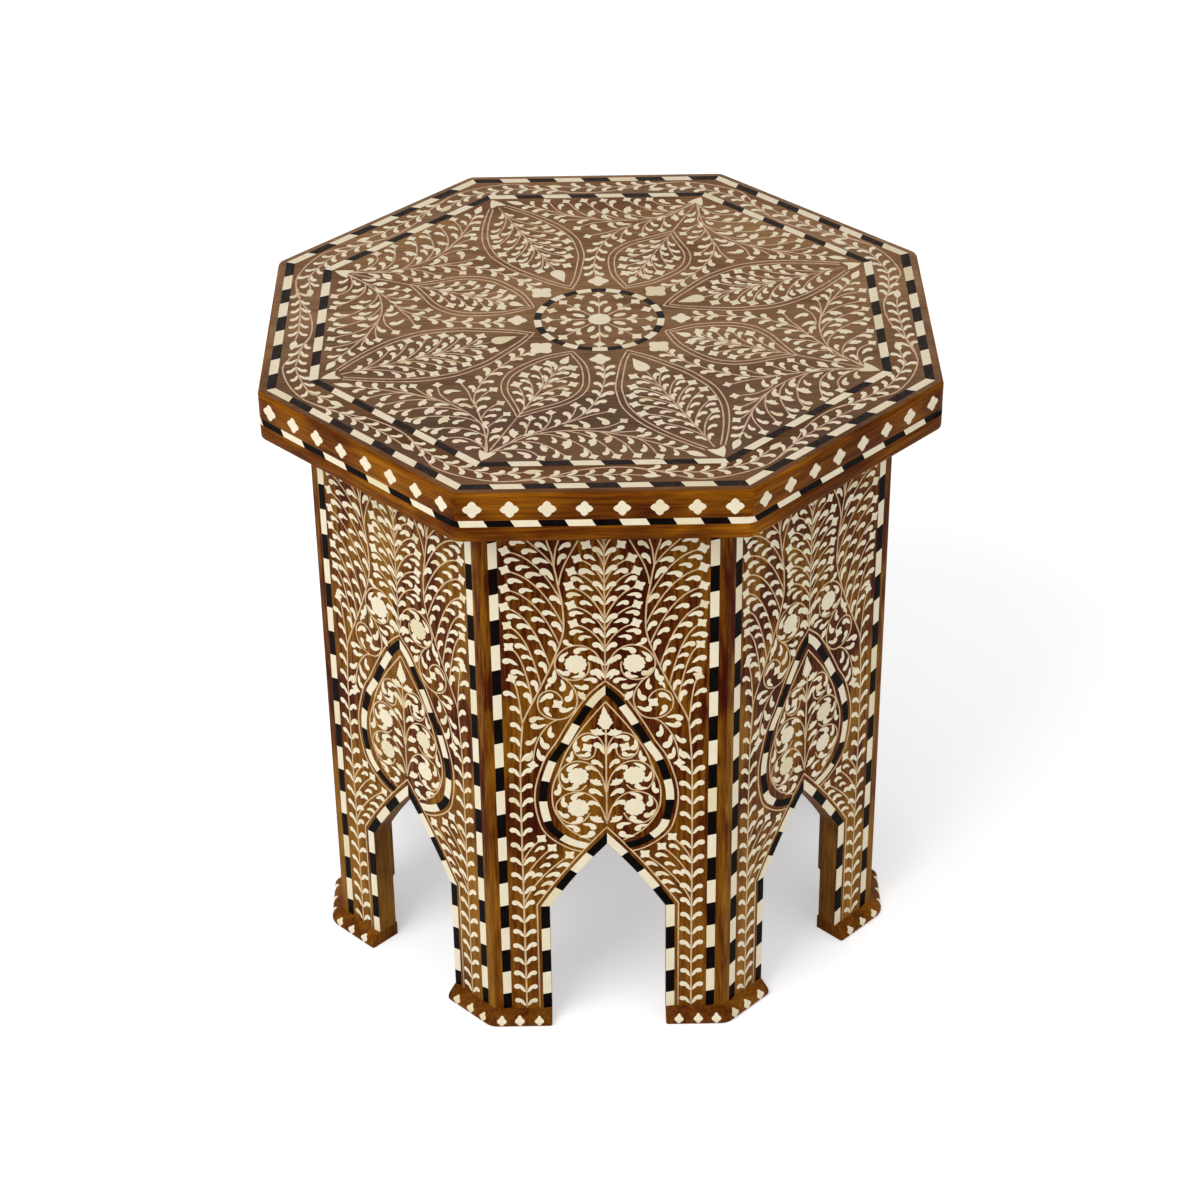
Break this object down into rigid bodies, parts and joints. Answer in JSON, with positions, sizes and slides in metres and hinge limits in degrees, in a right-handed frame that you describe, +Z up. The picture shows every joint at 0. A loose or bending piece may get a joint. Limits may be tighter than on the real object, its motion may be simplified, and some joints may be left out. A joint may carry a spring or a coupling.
{
  "type": "octagonal stool",
  "caption": "Octagonal inlaid stool or side table: a flat lipped top on a mitred base with a pointed arch cut in each side, standing on moulded feet.",
  "frame": {"origin": "on the floor, under the centre of the stool", "axes": "+Z up; -Y towards the front panel, so that flats of the octagon face plus and minus X and Y"},
  "size_m": [0.457, 0.457, 0.463],
  "materials": {
    "edge_wood": "golden brown hardwood, clear gloss lacquer",
    "field_wood": "mid brown hardwood ground of the inlaid top, clear gloss lacquer",
    "panel_wood": "reddish brown hardwood ground of the inlaid sides, satin lacquer",
    "foot_wood": "brown hardwood moulding, gloss lacquer",
    "inner_wood": "plain sawn softwood, unfinished",
    "bone": "polished cream bone",
    "ebony": "polished black horn or ebonised wood",
    "steel": "plain zinc plated steel"
  },
  "bodies": {
    "root": {"top_board": "field_wood", "top_outer_string": "bone", "top_inner_string": "ebony", "top_edge_string": "bone", "top_edge_rail_1": "edge_wood", "side_panel_1": "panel_wood", "foot_moulding_right_1": "foot_wood", "foot_moulding_left_1": "foot_wood", "head_cleat_1": "inner_wood", "cleat_screw_1": "steel", "corner_post_1": "inner_wood", "top_edge_rail_2": "edge_wood", "side_panel_2": "panel_wood", "foot_moulding_right_2": "foot_wood", "foot_moulding_left_2": "foot_wood", "head_cleat_2": "inner_wood", "cleat_screw_2": "steel", "corner_post_2": "inner_wood", "top_edge_rail_3": "edge_wood", "side_panel_3": "panel_wood", "foot_moulding_right_3": "foot_wood", "foot_moulding_left_3": "foot_wood", "head_cleat_3": "inner_wood", "cleat_screw_3": "steel", "corner_post_3": "inner_wood", "top_edge_rail_4": "edge_wood", "side_panel_4": "panel_wood", "foot_moulding_right_4": "foot_wood", "foot_moulding_left_4": "foot_wood", "head_cleat_4": "inner_wood", "cleat_screw_4": "steel", "corner_post_4": "inner_wood", "top_edge_rail_5": "edge_wood", "side_panel_5": "panel_wood", "foot_moulding_right_5": "foot_wood", "foot_moulding_left_5": "foot_wood", "head_cleat_5": "inner_wood", "cleat_screw_5": "steel", "corner_post_5": "inner_wood", "top_edge_rail_6": "edge_wood", "side_panel_6": "panel_wood", "foot_moulding_right_6": "foot_wood", "foot_moulding_left_6": "foot_wood", "head_cleat_6": "inner_wood", "cleat_screw_6": "steel", "corner_post_6": "inner_wood", "top_edge_rail_7": "edge_wood", "side_panel_7": "panel_wood", "foot_moulding_right_7": "foot_wood", "foot_moulding_left_7": "foot_wood", "head_cleat_7": "inner_wood", "cleat_screw_7": "steel", "corner_post_7": "inner_wood", "top_edge_rail_8": "edge_wood", "side_panel_8": "panel_wood", "foot_moulding_right_8": "foot_wood", "foot_moulding_left_8": "foot_wood", "head_cleat_8": "inner_wood", "cleat_screw_8": "steel", "corner_post_8": "inner_wood"}
  },
  "joints": []
}
